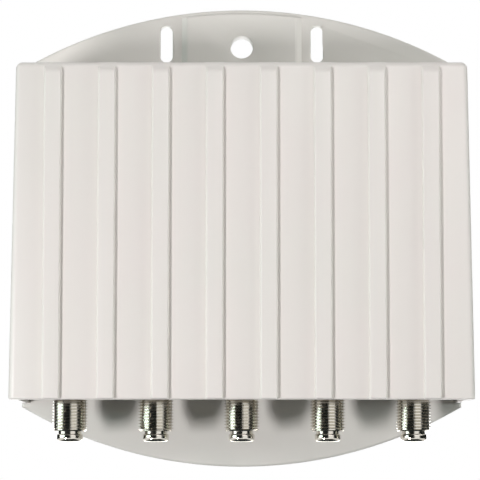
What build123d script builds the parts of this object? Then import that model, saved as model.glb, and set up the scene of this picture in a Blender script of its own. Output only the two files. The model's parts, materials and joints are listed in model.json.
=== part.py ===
from build123d import *
import os
from math import radians, sqrt, tan

# Satellite switch in a housing for a wall or a mast. A ribbed weather cover slides on the rails of a
# back plate, over a screened case whose five sockets point down.
# Sizes are in millimetres. The origin is the centre of the wall screw's hole, on the wall.
# X runs to the right as seen from the front, Y runs into the wall and Z runs up.
# A depth is a distance in front of the wall, so a point at depth d has Y = -d.

# Back plate
plate_height = 125.4
plate_arc_radius = 118.5
plate_corner_radius = 2.5
plate_depth = 4.2
plate_skin = 2.2
plate_skirt_wall = 2.0
plate_pocket_corner = 1.0
plate_edge_round = 0.8
mast_rib_spacing = 21.8
plate_rib_width = 1.6
cross_rib_count = 4
cross_rib_pitch = 22.8

# Wall screw's hole, strap slots and the raised bridge that a strap is pulled over
hole_below_top = 10.6
hole_radius = 3.1
hole_boss_radius = 5.6
slot_spacing = 41.4
slot_width = 3.4
slot_length = 10.2
slot_above_hole = 1.0
bridge_top_width = 30.0
bridge_foot_width = 35.6
bridge_height = 1.2
bridge_inside_rim = 1.2
bridge_below_hole = 29.6
bridge_end_slope = 0.9
bridge_shoulder_round = 0.6

# Weather cover
cover_past_lid_side = 2.85
cover_past_plate_side = 0.25
cover_height = 87.7
cover_above_plate_foot = 17.2
cover_front_depth = 42.0
cover_draft_degrees = 0.79
cover_wall = 2.2
cover_corner_radius = 1.8
cover_inner_corner_radius = 0.6
cover_top_round = 1.5
cover_foot_round = 0.5
cover_rear_gap = 0.3

# Raised ribs on the cover's front
rib_count = 8
rib_pitch = 14.0
rib_foot_width = 4.6
rib_top_width = 4.2
rib_height = 1.3
rib_below_top = 1.1
rib_edge_round = 0.35

# Rails on the plate and lips in the cover, which slide on each other
lip_thickness = 1.8
lip_reach = 2.95
lip_foot_gap = 2.0
slide_gap = 0.3
rail_web = 2.0
rail_flange_reach = 2.6
rail_flange_thickness = 1.8
rail_foot_gap = 2.5
rail_past_lug = 1.3
stop_gap = 0.4
bridge_notch_gap = 0.4

# Screened case, its lid and its fixings
case_past_end_socket = 7.4
case_height = 50.0
case_depth = 21.0
case_above_cover_foot = 7.5
case_wall = 1.6
case_corner_radius = 2.0
case_pocket_corner = 0.5
lug_spacing = 76.0
lug_width = 9.0
lug_hole_above_case = 4.0
lug_thickness = 2.2
foot_tab_width = 7.0
foot_tab_reach = 3.2
hook_wall = 1.6
hook_gap = 0.3
hook_overlap = 2.0
boss_radius = 4.0
pillar_radius = 2.9
pillar_from_wall = 2.6
lid_thickness = 0.8
lid_rim_reach = 4.0
lid_rim_gap = 0.1
lid_panel_inset = 7.0
lid_panel_rise = 0.7
lid_panel_corner = 3.0

# Screws
case_screw_radius = 1.5
case_screw_length = 8.5
case_screw_head_radius = 2.8
case_screw_head_height = 2.0
case_washer_radius = 3.6
case_washer_thickness = 0.6
lid_screw_radius = 1.25
lid_screw_length = 7.0
lid_screw_head_radius = 2.3
lid_screw_head_height = 1.5
screw_hole_gap = 0.3
thread_gap = 0.05
drive_width = 0.8
drive_depth = 0.8

# Sockets
socket_count = 5
socket_pitch = 22.7
socket_axis_depth = 21.0
thread_radius = 4.7
thread_end = 15.35
thread_chamfer = 0.5
collar_across_flats = 11.0
collar_height = 2.6
neck_radius = 3.05
neck_length = 0.7
nose_radius = 3.45
nose_length = 2.05
nose_chamfer = 0.7
nose_lip = 0.6
mouth_radius = 2.2
socket_bore_radius = 2.6
shank_radius = 4.0
shank_hole_gap = 0.1
socket_washer_radius = 5.0
socket_washer_thickness = 0.6
washer_split = 0.9
socket_nut_across_flats = 10.0
socket_nut_height = 2.2
shank_past_nut = 0.6
core_gap = 0.05
insulator_mouth_web = 1.2
insulator_entry_radius = 0.65
insulator_core_radius = 1.0
contact_bore_radius = 0.55
contact_bore_depth = 8.0
contact_tail_width = 1.0
contact_tail_thickness = 0.6
contact_tail_length = 6.5

# Circuit board, the shield that stands on it and the parts that are soldered to it
board_thickness = 1.6
board_side_gap = 1.2
board_above_case_foot = 8.0
board_below_case_top = 2.4
board_solder_gap = 0.05
board_notch_gap = 0.4
board_peg_radius = 1.0
board_peg_gap = 0.1
board_peg_past = 0.6
board_boss_radius = 2.4
board_boss_from_edge = 4.0
board_boss_above_shield = 4.0
shield_sheet = 0.5
shield_height = 12.5
shield_lid_gap = 0.3
shield_end_gap = 0.5
controller_length = 8.7
controller_width = 3.9
controller_height = 1.5
controller_legs = 7
leg_pitch = 1.27
leg_width = 0.4
leg_reach = 1.0
leg_thickness = 0.3
power_body_width = 6.5
power_body_height = 3.5
power_body_rise = 1.6
power_leg_pitch = 2.3
power_leg_width = 0.8
power_tab_width = 3.0
resonator_width = 7.0
resonator_depth = 2.8
resonator_rise = 6.0
resonator_round = 0.9
filter_radius = 3.15
filter_rise = 7.0
coil_radius = 1.6
coil_length = 6.0
coil_from_socket = 5.6
diode_width = 1.9
diode_height = 1.25
diode_rise = 1.0
diode_from_socket = 3.4
diode_above_board_foot = 4.2
diode_spacing = 4.2
chip_width = 2.0
chip_height = 1.25
chip_capacitor_rise = 0.9
chip_resistor_rise = 0.5
chip_pitch = 4.2
chip_capacitor_count = 9
chip_resistor_count = 11
bay_capacitor_from_socket = 1.9
bay_capacitor_above_board_foot = 9.4
power_row_height = 19.0
logic_row_height = 31.0
chip_row_height = 25.0

# Places worked out from the sizes above
plate_top = hole_below_top
plate_foot = plate_top - plate_height
cover_foot = plate_foot + cover_above_plate_foot
cover_top = cover_foot + cover_height
cover_narrowing = cover_height * tan(radians(cover_draft_degrees))
cover_rear_depth = plate_depth + cover_rear_gap
case_width = (socket_count - 1) * socket_pitch + 2 * case_past_end_socket
lid_half = case_width / 2 + lid_rim_gap + lid_thickness
cover_top_half = lid_half + cover_past_lid_side + cover_wall
cover_width = 2 * (cover_top_half + cover_narrowing)
plate_width = cover_width - 2 * cover_past_plate_side
lip_back_depth = cover_rear_depth
lip_front_depth = lip_back_depth + lip_thickness
lip_inner_half = cover_top_half - cover_wall - lip_reach
lip_foot = cover_foot + lip_foot_gap
rail_web_half = lip_inner_half - slide_gap
rail_slot_front_depth = lip_front_depth + slide_gap
rail_front_depth = rail_slot_front_depth + rail_flange_thickness
rail_foot = cover_foot + rail_foot_gap
case_foot = cover_foot + case_above_cover_foot
case_top = case_foot + case_height
lug_top = case_top + lug_hole_above_case + lug_width / 2
rail_top = lug_top + rail_past_lug
cover_drop = cover_top - cover_wall - stop_gap - rail_top
case_back_depth = socket_axis_depth - case_depth / 2
case_front_depth = case_back_depth + case_depth
case_middle = (case_foot + case_top) / 2
pillar_low = case_foot + case_wall + pillar_from_wall
pillar_high = case_top - case_wall - pillar_from_wall
screw_head_depth = case_back_depth + lug_thickness + case_washer_thickness
board_front_depth = socket_axis_depth - contact_tail_thickness / 2 - board_solder_gap
board_back_depth = board_front_depth - board_thickness
board_foot = case_foot + board_above_case_foot
board_top = case_top - board_below_case_top
board_half = case_width / 2 - case_wall - board_side_gap
nose_end = thread_end + neck_length + nose_length
shank_reach = case_wall + socket_washer_thickness + socket_nut_height + shank_past_nut
core_top = case_foot + shank_reach
core_foot = case_foot - nose_end + nose_lip + core_gap
contact_foot = core_foot + insulator_mouth_web + core_gap
socket_places = [(i - (socket_count - 1) / 2) * socket_pitch for i in range(socket_count)]
bay_walls = [(i - (socket_count - 2) / 2) * socket_pitch for i in range(socket_count - 1)]
pillar_half = bay_walls[-1]


def slab(face, back, front):
    """Solid between two depths, from a face drawn as seen from the front."""
    return extrude(Plane.XZ.offset(back) * face, front - back)


def upright(face, low, high):
    """Solid between two heights, from a face drawn as seen from above."""
    return extrude(Plane.XY.offset(low) * face, high - low)


def panel(left, right, low, high):
    """Rectangle between two sides and two heights."""
    return Pos((left + right) / 2, (low + high) / 2) * Rectangle(right - left, high - low)


def block(left, right, low, high, back, front):
    """Box between two sides, two heights and two depths."""
    return slab(panel(left, right, low, high), back, front)


def disc(x, z, radius):
    """Round face as seen from the front."""
    return Pos(x, z) * Circle(radius)


def mirrored(shape):
    """The shape and its mirror image on the other side of the middle."""
    return shape + mirror(shape, Plane.YZ)


def pair(shape):
    """The solid and its mirror image as two separate solids."""
    return [shape, mirror(shape, Plane.YZ)]


def plate_outline(inset, corner):
    """Plate as seen from the front: straight sides, with one flat arc at the top and one at the foot."""
    half = plate_width / 2 - inset
    radius = plate_arc_radius - inset
    rise = sqrt(radius**2 - half**2)
    top_corner = plate_top - plate_arc_radius + rise
    foot_corner = plate_foot + plate_arc_radius - rise
    sides = [
        Line((-half, foot_corner), (-half, top_corner)),
        ThreePointArc((-half, top_corner), (0, plate_top - inset), (half, top_corner)),
        Line((half, top_corner), (half, foot_corner)),
        ThreePointArc((half, foot_corner), (0, plate_foot + inset), (-half, foot_corner)),
    ]
    outline = make_face(sides)
    return fillet(outline.vertices(), corner)


def strap_bridge(gap):
    """Raised bridge between the slots, seen from above, larger by a gap on its sides and its front."""
    points = [
        (-bridge_foot_width / 2 - gap, -plate_depth + plate_skin / 2),
        (-bridge_foot_width / 2 - gap, -plate_depth),
        (-bridge_top_width / 2 - gap, -plate_depth - bridge_height - gap),
        (bridge_top_width / 2 + gap, -plate_depth - bridge_height - gap),
        (bridge_foot_width / 2 + gap, -plate_depth),
        (bridge_foot_width / 2 + gap, -plate_depth + plate_skin / 2),
    ]
    return make_face(Polyline(points, close=True))


def bridge_solid():
    """Strap bridge with rounded shoulders, whose sloped upper end follows the plate's rim."""
    bridge = upright(strap_bridge(0), -bridge_below_hole, plate_top)
    bridge &= slab(plate_outline(bridge_inside_rim, plate_corner_radius), 0, plate_depth + 2 * bridge_height)
    front = bridge.faces().sort_by(Axis.Y)[0]
    upper_edge = front.edges().sort_by(Axis.Z)[-1]
    bridge = chamfer(upper_edge, bridge_end_slope)
    front = bridge.faces().sort_by(Axis.Y)[0]
    shoulders = front.edges().filter_by(Axis.Z)
    return fillet(shoulders, bridge_shoulder_round)


def plate_back_ribs():
    """Ribs on the wall side: two for the mast and some across, with a collar round the hole."""
    floor_depth = plate_depth - plate_skin
    half_rib = plate_rib_width / 2
    mast_rib = block(mast_rib_spacing / 2 - half_rib, mast_rib_spacing / 2 + half_rib,
                     plate_foot, plate_top, 0, floor_depth)
    ribs = mirrored(mast_rib)
    for i in range(cross_rib_count):
        height = plate_foot + cross_rib_pitch * (i + 1)
        ribs += block(-plate_width / 2, plate_width / 2, height - half_rib, height + half_rib, 0, floor_depth)
    ribs = ribs & slab(plate_outline(plate_skirt_wall / 2, plate_pocket_corner), 0, floor_depth)
    ribs += slab(disc(0, 0, hole_boss_radius), 0, floor_depth)
    return ribs


def strap_slot():
    """Right-hand upright slot with round ends."""
    return Pos(slot_spacing / 2, slot_above_hole) * SlotOverall(slot_length, slot_width, rotation=90)


def rail():
    """Right-hand rail: a web with an outward flange that holds the cover's lip to the plate."""
    web_inner = rail_web_half - rail_web
    flange_tip = rail_web_half + rail_flange_reach
    points = [
        (web_inner, -plate_depth + plate_skin / 2),
        (rail_web_half, -plate_depth + plate_skin / 2),
        (rail_web_half, -rail_slot_front_depth),
        (flange_tip, -rail_slot_front_depth),
        (flange_tip, -rail_front_depth),
        (web_inner, -rail_front_depth),
    ]
    return upright(make_face(Polyline(points, close=True)), rail_foot, rail_top)


def foot_hook():
    """Right-hand hook that carries the tab at the foot of the case."""
    tab_foot = case_foot - foot_tab_reach
    tab_front = case_back_depth + lug_thickness
    arm_foot = tab_foot - hook_gap - hook_wall
    lip_back = tab_front + hook_gap
    side = bay_walls[socket_count // 2]
    points = [
        (-plate_depth + plate_skin / 2, arm_foot),
        (-lip_back - hook_wall, arm_foot),
        (-lip_back - hook_wall, tab_foot + hook_overlap),
        (-lip_back, tab_foot + hook_overlap),
        (-lip_back, tab_foot - hook_gap),
        (-case_back_depth, tab_foot - hook_gap),
        (-case_back_depth, case_foot + foot_tab_width),
        (-plate_depth + plate_skin / 2, case_foot + foot_tab_width),
    ]
    profile = Plane.YZ.offset(side - foot_tab_width / 2) * make_face(Polyline(points, close=True))
    return extrude(profile, foot_tab_width)


def back_plate():
    """Plate with its skirt, back ribs, strap bridge, rails, bosses and hooks."""
    plate = slab(plate_outline(0, plate_corner_radius), 0, plate_depth)
    front_rim = plate.faces().sort_by(Axis.Y)[0].edges()
    plate = fillet(front_rim, plate_edge_round)
    plate -= slab(plate_outline(plate_skirt_wall, plate_pocket_corner), 0, plate_depth - plate_skin)
    plate += plate_back_ribs()
    plate += bridge_solid()
    plate += mirrored(rail())
    plate += mirrored(foot_hook())
    boss_start = plate_depth - plate_skin / 2
    lug_hole = case_top + lug_hole_above_case
    plate += mirrored(slab(disc(lug_spacing / 2, lug_hole, boss_radius), boss_start, case_back_depth))
    pilot_back = screw_head_depth - case_screw_length - thread_gap
    pilot = disc(lug_spacing / 2, lug_hole, case_screw_radius + thread_gap)
    plate -= mirrored(slab(pilot, pilot_back, case_back_depth))
    plate -= slab(disc(0, 0, hole_radius), 0, plate_depth + bridge_height)
    plate -= mirrored(slab(strap_slot(), 0, plate_depth + bridge_height))
    return plate


def drafted(size, height):
    """A size at the cover's foot as it is at a height, where the draft has drawn it in."""
    return size - (height - cover_foot) * tan(radians(cover_draft_degrees))


def is_upright(edge):
    """Whether an edge runs up rather than level."""
    return abs(edge.tangent_at(0).Z) > abs(edge.tangent_at(0).X) + abs(edge.tangent_at(0).Y)


def drafted_block(inset, low, high, rear_depth, corner):
    """Block with drafted sides and front, inset from the cover's outer faces, and an upright rear."""
    half = drafted(cover_width / 2, low) - inset
    front = drafted(cover_front_depth, low) - inset
    section = Pos(0, -rear_depth) * Rectangle(2 * half, 2 * (front - rear_depth))
    both_ways = extrude(Plane.XY.offset(low) * section, high - low, taper=cover_draft_degrees)
    form = both_ways & block(-half, half, low, high, rear_depth, front)
    front_corners = form.edges().filter_by(is_upright).sort_by(Axis.Y)[:2]
    return fillet(front_corners, corner)


def cover_shell():
    """Drafted hood, closed at the top and open at the foot and the rear."""
    outer = drafted_block(0, cover_foot, cover_top, cover_rear_depth, cover_corner_radius)
    top_edges = outer.faces().sort_by(Axis.Z)[-1].edges().sort_by(Axis.Y)[:-1]
    outer = fillet(top_edges, cover_top_round)
    foot_edges = outer.faces().sort_by(Axis.Z)[0].edges().sort_by(Axis.Y)[:-1]
    outer = fillet(foot_edges, cover_foot_round)
    return outer - drafted_block(cover_wall, cover_foot - cover_wall, cover_top - cover_wall, 0,
                                 cover_inner_corner_radius)


def cover_rib():
    """Raised rib at the middle of the drafted front: a low trapezoid with round edges and a bevelled top."""
    low = cover_foot + cover_foot_round
    high = cover_top - rib_below_top
    surface = drafted(cover_front_depth, low)
    buried = surface - cover_wall / 2
    points = [
        (-rib_foot_width / 2, -buried),
        (-rib_foot_width / 2, -surface),
        (-rib_top_width / 2, -surface - rib_height),
        (rib_top_width / 2, -surface - rib_height),
        (rib_foot_width / 2, -surface),
        (rib_foot_width / 2, -buried),
    ]
    section = Plane.XY.offset(low) * make_face(Polyline(points, close=True))
    along_front = Vector(0, surface - drafted(cover_front_depth, high), high - low)
    rib = extrude(section, along_front.length, dir=along_front)
    crest = rib.faces().sort_by(Axis.Y)[0]
    long_edges = crest.edges().sort_by(Axis.X)
    rib = fillet([long_edges[0], long_edges[-1]], rib_edge_round)
    top_surface = drafted(cover_front_depth, high)
    reach = 2 * rib_height
    wedge = make_face(Polyline([(-top_surface, high), (-top_surface - reach, high),
                                (-top_surface - reach, high - reach)], close=True))
    bevel = extrude(Plane.YZ.offset(-rib_foot_width) * wedge, 2 * rib_foot_width)
    return rib - bevel


def cover_lip():
    """Right-hand lip inside the rear edge of the cover, which runs in the rail."""
    buried = cover_top_half - cover_wall / 4
    lip_top = cover_top - cover_wall / 2
    return block(lip_inner_half, buried, lip_foot, lip_top, lip_back_depth, lip_front_depth)


def weather_cover():
    """Hood with its eight ribs, its two lips and the notch that clears the strap bridge."""
    cover = cover_shell()
    rib = cover_rib()
    for i in range(rib_count):
        cover += Pos((i - (rib_count - 1) / 2) * rib_pitch, 0, 0) * rib
    cover += mirrored(cover_lip())
    cover -= upright(strap_bridge(bridge_notch_gap), cover_top - 2 * cover_wall, cover_top + cover_wall)
    return cover


def rounded_front(half, low, high, corner):
    """Rectangle with round corners as seen from the front."""
    return Pos(0, (low + high) / 2) * RectangleRounded(2 * half, high - low, corner)


def case_lug():
    """Right-hand lug at the top of the case, with a round end and a screw hole."""
    middle = lug_spacing / 2
    hole = case_top + lug_hole_above_case
    lug = panel(middle - lug_width / 2, middle + lug_width / 2, case_top - case_wall, hole)
    lug += disc(middle, hole, lug_width / 2)
    lug -= disc(middle, hole, case_screw_radius + screw_hole_gap)
    return slab(lug, case_back_depth, case_back_depth + lug_thickness)


def case_foot_tab():
    """Right-hand tab at the foot of the case, which stands in its hook."""
    middle = bay_walls[socket_count // 2]
    return block(middle - foot_tab_width / 2, middle + foot_tab_width / 2,
                 case_foot - foot_tab_reach, case_foot + case_wall,
                 case_back_depth, case_back_depth + lug_thickness)


def board_pegs():
    """Places of the two upper bosses, whose pegs locate the board."""
    side = board_half - board_boss_from_edge
    return [(x, board_top - board_boss_from_edge) for x in (-side, side)]


def board_rests():
    """Places of the two plain bosses, just above the shield's wall."""
    side = board_half - board_boss_from_edge
    height = board_foot + shield_height + shield_sheet + board_boss_above_shield
    return [(x, height) for x in (-side, side)]


def module_case():
    """Open tray with socket holes in its foot, screw pillars, board bosses, lugs and tabs."""
    case = slab(rounded_front(case_width / 2, case_foot, case_top, case_corner_radius),
                case_back_depth, case_front_depth)
    pocket = rounded_front(case_width / 2 - case_wall, case_foot + case_wall, case_top - case_wall,
                           case_pocket_corner)
    case -= slab(pocket, case_back_depth + case_wall, case_front_depth)
    floor_depth = case_back_depth + case_wall
    for height in (pillar_low, pillar_high):
        wall = case_foot if height < case_middle else case_top
        web = panel(pillar_half - pillar_radius, pillar_half + pillar_radius,
                    min(wall, height), max(wall, height))
        case += mirrored(slab(web + disc(pillar_half, height, pillar_radius), floor_depth, case_front_depth))
        thread = disc(pillar_half, height, lid_screw_radius + thread_gap)
        thread_back = case_front_depth + lid_thickness - lid_screw_length - thread_gap
        case -= mirrored(slab(thread, thread_back, case_front_depth))
    for x, z in board_pegs() + board_rests():
        case += slab(disc(x, z, board_boss_radius), floor_depth, board_back_depth)
    for x, z in board_pegs():
        case += slab(disc(x, z, board_peg_radius), floor_depth, board_front_depth + board_peg_past)
    case += mirrored(case_lug())
    case += mirrored(case_foot_tab())
    for x in socket_places:
        hole = Pos(x, -socket_axis_depth) * Circle(shank_radius + shank_hole_gap)
        case -= upright(hole, case_foot, case_foot + case_wall)
    return case


def module_lid():
    """Pressed lid with a turned rim, a raised panel and four screw holes."""
    outer_gap = lid_rim_gap + lid_thickness
    skin = rounded_front(lid_half, case_foot - outer_gap, case_top + outer_gap,
                         case_corner_radius + outer_gap)
    clear = rounded_front(case_width / 2 + lid_rim_gap, case_foot - lid_rim_gap, case_top + lid_rim_gap,
                          case_corner_radius + lid_rim_gap)
    lid = slab(skin, case_front_depth - lid_rim_reach, case_front_depth + lid_thickness)
    lid -= slab(clear, case_front_depth - lid_rim_reach, case_front_depth)
    half = case_width / 2 - lid_panel_inset
    low = case_foot + lid_panel_inset
    high = case_top - lid_panel_inset
    raised = rounded_front(half, low, high, lid_panel_corner)
    hollow = rounded_front(half - lid_thickness, low + lid_thickness, high - lid_thickness,
                           lid_panel_corner - lid_thickness)
    lid += slab(raised, case_front_depth, case_front_depth + lid_thickness + lid_panel_rise)
    lid -= slab(hollow, case_front_depth, case_front_depth + lid_panel_rise)
    for height in (pillar_low, pillar_high):
        hole = disc(pillar_half, height, lid_screw_radius + screw_hole_gap)
        lid -= mirrored(slab(hole, case_front_depth, case_front_depth + lid_thickness))
    return lid


def pan_screw(x, z, seat_depth, radius, length, head_radius, head_height):
    """Slotted screw whose head rests at the seat's depth."""
    shank = slab(disc(x, z, radius), seat_depth - length, seat_depth)
    head = slab(disc(x, z, head_radius), seat_depth, seat_depth + head_height)
    top = seat_depth + head_height
    drive = block(x - head_radius, x + head_radius, z - drive_width / 2, z + drive_width / 2,
                  top - drive_depth, top)
    return shank + head - drive


def case_screws():
    """The two screws that hold the case's lugs to the plate's bosses."""
    height = case_top + lug_hole_above_case
    return pair(pan_screw(lug_spacing / 2, height, screw_head_depth, case_screw_radius, case_screw_length,
                          case_screw_head_radius, case_screw_head_height))


def case_screw_washers():
    """The two plain washers under the case screws."""
    height = case_top + lug_hole_above_case
    ring = disc(lug_spacing / 2, height, case_washer_radius)
    ring -= disc(lug_spacing / 2, height, case_screw_radius + screw_hole_gap / 2)
    return pair(slab(ring, case_back_depth + lug_thickness, screw_head_depth))


def lid_screws():
    """The four screws that hold the lid on the case's pillars."""
    screws = []
    for height in (pillar_low, pillar_high):
        screws += pair(pan_screw(pillar_half, height, case_front_depth + lid_thickness, lid_screw_radius,
                                 lid_screw_length, lid_screw_head_radius, lid_screw_head_height))
    return screws


def turned(points, x):
    """Solid of revolution about a socket's axis, from points of radius and height."""
    profile = make_face(Polyline(points, close=True))
    return Pos(x, -socket_axis_depth, 0) * revolve(Plane.XZ * profile, Axis.Z)


def round_bar(x, radius, low, high):
    """Upright cylinder on a socket's axis."""
    return upright(Pos(x, -socket_axis_depth) * Circle(radius), low, high)


def socket_body(x):
    """Turned socket: shank, hexagonal collar, threaded barrel and a smooth nose with a bore."""
    collar_foot = case_foot - collar_height
    barrel_foot = case_foot - thread_end
    nose_top = barrel_foot - neck_length
    nose_foot = case_foot - nose_end
    body = round_bar(x, shank_radius, case_foot, core_top)
    collar = RegularPolygon(collar_across_flats / 2, 6, major_radius=False, rotation=30)
    body += upright(Pos(x, -socket_axis_depth) * collar, collar_foot, case_foot)
    barrel = round_bar(x, thread_radius, barrel_foot, collar_foot)
    body += chamfer(barrel.faces().sort_by(Axis.Z)[0].edges(), thread_chamfer)
    body += round_bar(x, neck_radius, nose_top, barrel_foot)
    nose = round_bar(x, nose_radius, nose_foot, nose_top)
    body += chamfer(nose.faces().sort_by(Axis.Z)[0].edges(), nose_chamfer)
    body -= round_bar(x, mouth_radius, nose_foot, core_top)
    body -= round_bar(x, socket_bore_radius + core_gap, nose_foot + nose_lip, core_top)
    return body


def socket_insulator(x):
    """White core of a socket, with a channel for the contact and a small entry hole at the mouth."""
    channel = insulator_core_radius + core_gap
    points = [
        (insulator_entry_radius, core_foot),
        (socket_bore_radius, core_foot),
        (socket_bore_radius, core_top),
        (channel, core_top),
        (channel, core_foot + insulator_mouth_web),
        (insulator_entry_radius, core_foot + insulator_mouth_web),
    ]
    return turned(points, x)


def socket_contact(x):
    """Centre contact: a spring tube in the core and a flat tail that lies on the board."""
    contact = round_bar(x, insulator_core_radius, contact_foot, core_top)
    contact -= round_bar(x, contact_bore_radius, contact_foot, contact_foot + contact_bore_depth)
    tail = Pos(x, -socket_axis_depth) * Rectangle(contact_tail_width, contact_tail_thickness)
    return contact + upright(tail, core_top, core_top + contact_tail_length)


def socket_lock_washers():
    """Split spring washers between the case's foot and the socket nuts."""
    low = case_foot + case_wall
    ring = Circle(socket_washer_radius) - Circle(shank_radius + shank_hole_gap)
    ring -= Pos(0, -socket_washer_radius) * Rectangle(washer_split, socket_washer_radius)
    return [upright(Pos(x, -socket_axis_depth) * ring, low, low + socket_washer_thickness)
            for x in socket_places]


def socket_nuts():
    """Hexagonal nuts that hold the sockets from inside the case."""
    low = case_foot + case_wall + socket_washer_thickness
    ring = RegularPolygon(socket_nut_across_flats / 2, 6, major_radius=False, rotation=30)
    ring -= Circle(shank_radius + thread_gap)
    return [upright(Pos(x, -socket_axis_depth) * ring, low, low + socket_nut_height) for x in socket_places]


def circuit_board():
    """Board with notches for the lid's pillars and holes for its pegs."""
    board = panel(-board_half, board_half, board_foot, board_top)
    clear = pillar_radius + board_notch_gap
    notch = disc(pillar_half, pillar_high, clear)
    notch += panel(pillar_half - clear, pillar_half + clear, pillar_high, case_top)
    board -= notch + mirror(notch, Plane.YZ)
    for x, z in board_pegs():
        board -= disc(x, z, board_peg_radius + board_peg_gap)
    return slab(board, board_back_depth, board_front_depth)


def shield_partition():
    """Sheet comb that stands on the board: one long wall and a fin between each pair of sockets."""
    front = case_front_depth - shield_lid_gap
    wall_height = board_foot + shield_height
    half = board_half - shield_end_gap
    comb = block(-half, half, wall_height, wall_height + shield_sheet, board_front_depth, front)
    for x in bay_walls:
        comb += block(x - shield_sheet / 2, x + shield_sheet / 2, board_foot, wall_height,
                      board_front_depth, front)
    return comb


def on_board(x, height, width, tall, rise):
    """Box that stands on the board, centred at a height above the board's foot."""
    z = board_foot + height
    return block(x - width / 2, x + width / 2, z - tall / 2, z + tall / 2,
                 board_front_depth, board_front_depth + rise)


def microcontroller():
    """Flat package with a row of legs on each long side."""
    chip = on_board(0, logic_row_height, controller_length, controller_width, controller_height)
    for i in range(controller_legs):
        x = (i - (controller_legs - 1) / 2) * leg_pitch
        chip += on_board(x, logic_row_height, leg_width, controller_width + 2 * leg_reach, leg_thickness)
    return chip


def power_package(x, height):
    """Package with a wide soldered tab above and three legs below."""
    package = on_board(x, height, power_body_width, power_body_height, power_body_rise)
    reach = power_body_height / 2 + leg_reach / 2
    package += on_board(x, height + reach, power_tab_width, leg_reach, leg_thickness)
    for i in (-1, 0, 1):
        leg = x + i * power_leg_pitch
        package += on_board(leg, height - reach, power_leg_width, leg_reach, leg_thickness)
    return package


def ceramic_resonator():
    """Clock resonator: a flat box on edge with rounded sides."""
    body = on_board(-socket_pitch, logic_row_height, resonator_width, resonator_depth, resonator_rise)
    return fillet(body.edges().filter_by(Axis.Y), resonator_round)


def filter_capacitor():
    """Upright round can."""
    place = disc(bay_walls[-1], board_foot + logic_row_height, filter_radius)
    return slab(place, board_front_depth, board_front_depth + filter_rise)


def inward(x):
    """Sign of the side of a socket that faces the middle of the case."""
    return -1 if x > 0 else 1


def feed_coils():
    """Upright supply chokes beside the sockets, which lie on the board."""
    coils = []
    axis_depth = board_front_depth + coil_radius
    low = board_foot + (shield_height - coil_length) / 2
    for x in socket_places:
        side = Pos(x + inward(x) * coil_from_socket, -axis_depth)
        coils.append(upright(side * Circle(coil_radius), low, low + coil_length))
    return coils


def input_sockets():
    """Places of the sockets that take a converter, which are all but the middle one."""
    return [x for i, x in enumerate(socket_places) if i != socket_count // 2]


def pin_diodes():
    """Two switching diodes in each input bay."""
    heights = (diode_above_board_foot, diode_above_board_foot + diode_spacing)
    return [on_board(x - inward(x) * diode_from_socket, height, diode_width, diode_height, diode_rise)
            for x in input_sockets() for height in heights]


def supply_transistors():
    """One supply transistor above each input bay."""
    return [power_package(x, power_row_height) for x in input_sockets()]


def chip_row(height, rise, count):
    """Row of small chips across the board, centred on the middle."""
    return [on_board((i - (count - 1) / 2) * chip_pitch, height, chip_width, chip_height, rise)
            for i in range(count)]


def chip_capacitors():
    """A row above the shield and one capacitor in each bay."""
    in_bays = [on_board(x + inward(x) * bay_capacitor_from_socket, bay_capacitor_above_board_foot,
                        chip_width, chip_height, chip_capacitor_rise) for x in socket_places]
    return chip_row(chip_row_height, chip_capacitor_rise, chip_capacitor_count) + in_bays


def chip_resistors():
    """A row above the logic."""
    height = board_top - board_foot - chip_height
    return chip_row(height, chip_resistor_rise, chip_resistor_count)


def build_nodes():
    """Every piece by name."""
    nodes = {
        "back_plate": back_plate(),
        "weather_cover": weather_cover(),
        "module_case": module_case(),
        "module_lid": module_lid(),
        "lid_screws": lid_screws(),
        "case_screws": case_screws(),
        "case_screw_washers": case_screw_washers(),
        "socket_lock_washers": socket_lock_washers(),
        "socket_nuts": socket_nuts(),
        "circuit_board": circuit_board(),
        "shield_partition": shield_partition(),
        "microcontroller": microcontroller(),
        "voltage_regulator": power_package(socket_pitch / 2, logic_row_height),
        "ceramic_resonator": ceramic_resonator(),
        "filter_capacitor": filter_capacitor(),
        "feed_coils": feed_coils(),
        "supply_transistors": supply_transistors(),
        "pin_diodes": pin_diodes(),
        "chip_capacitors": chip_capacitors(),
        "chip_resistors": chip_resistors(),
    }
    for number, x in enumerate(socket_places, start=1):
        nodes[f"socket_body_{number}"] = socket_body(x)
        nodes[f"socket_insulator_{number}"] = socket_insulator(x)
        nodes[f"socket_contact_{number}"] = socket_contact(x)
    return nodes


def write_nodes():
    """One STEP file for each node, a group of solids as one compound."""
    os.makedirs("parts", exist_ok=True)
    for name, shape in build_nodes().items():
        solids = shape if isinstance(shape, list) else [shape]
        export_step(Compound(children=[solid for piece in solids for solid in piece.solids()]),
                    f"parts/{name}.step")


print(f"The cover slides {cover_drop:.2f} mm down from where it stands, and off the rails at "
      f"{rail_top - lip_foot:.2f} mm up.")
write_nodes()
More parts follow.
